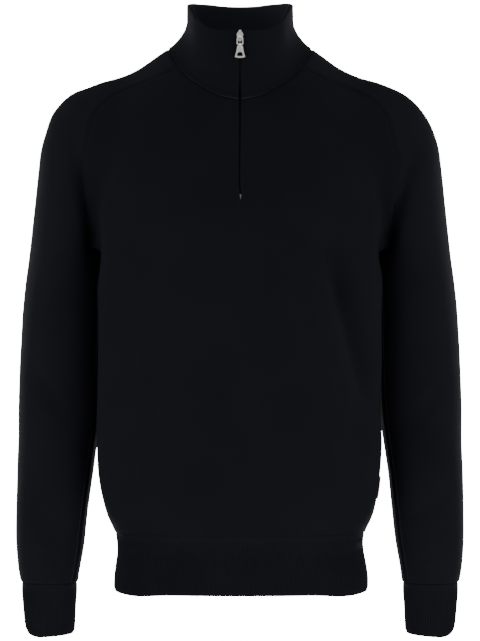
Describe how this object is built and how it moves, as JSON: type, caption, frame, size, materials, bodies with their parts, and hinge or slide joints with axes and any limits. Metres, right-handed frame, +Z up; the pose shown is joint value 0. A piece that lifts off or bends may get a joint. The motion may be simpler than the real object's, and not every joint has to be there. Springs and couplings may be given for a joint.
{
  "type": "quarter-zip knitted pullover",
  "caption": "Fine-knit pullover with a funnel collar, a short front zip with a hanging pull, saddle shoulders and ribbed hem and cuffs, filled out as when worn.",
  "frame": {"origin": "middle of the neck base, between the two points where the shoulders meet the neck, where a wearer carries the garment", "axes": "+X towards the wearer's left, +Y towards the back, +Z up; the front with the zip faces -Y"},
  "size_m": [0.565, 0.2566, 0.8035],
  "materials": {
    "body_knit": "matt fine knit, very dark navy",
    "sleeve_knit": "matt fine knit, very dark navy",
    "collar_knit": "matt fine knit, two layers, very dark navy",
    "rib_knit": "matt ribbed knit, very dark navy",
    "zip_tape": "woven tape, near black",
    "zip_metal": "polished, warm silver",
    "side_tab_weave": "woven tab, navy with small diamonds"
  },
  "bodies": {
    "root": {"front_panel": "body_knit", "back_panel": "body_knit", "sleeve_left": "sleeve_knit", "sleeve_right": "sleeve_knit", "collar": "collar_knit", "hem_rib": "rib_knit", "cuff_left": "rib_knit", "cuff_right": "rib_knit", "zip_tape_left": "zip_tape", "zip_tape_right": "zip_tape", "zip_chain": "zip_metal", "zip_stop": "zip_metal", "zip_slider": "zip_metal", "side_tab": "side_tab_weave"},
    "pull_link": {"pull_link": "zip_metal"},
    "pull_tab": {"pull_tab": "zip_metal"}
  },
  "joints": [
    {"name": "link_swing", "type": "hinge", "parent": "root", "child": "pull_link", "pos_m": [0, -0.08801, 0.02686], "axis": [-1, 0, 0], "range_deg": [0, 150]},
    {"name": "tab_swing", "type": "hinge", "parent": "pull_link", "child": "pull_tab", "pos_m": [0, -0.08931, 0.01503], "axis": [-1, 0, 0], "range_deg": [0, 115]}
  ]
}
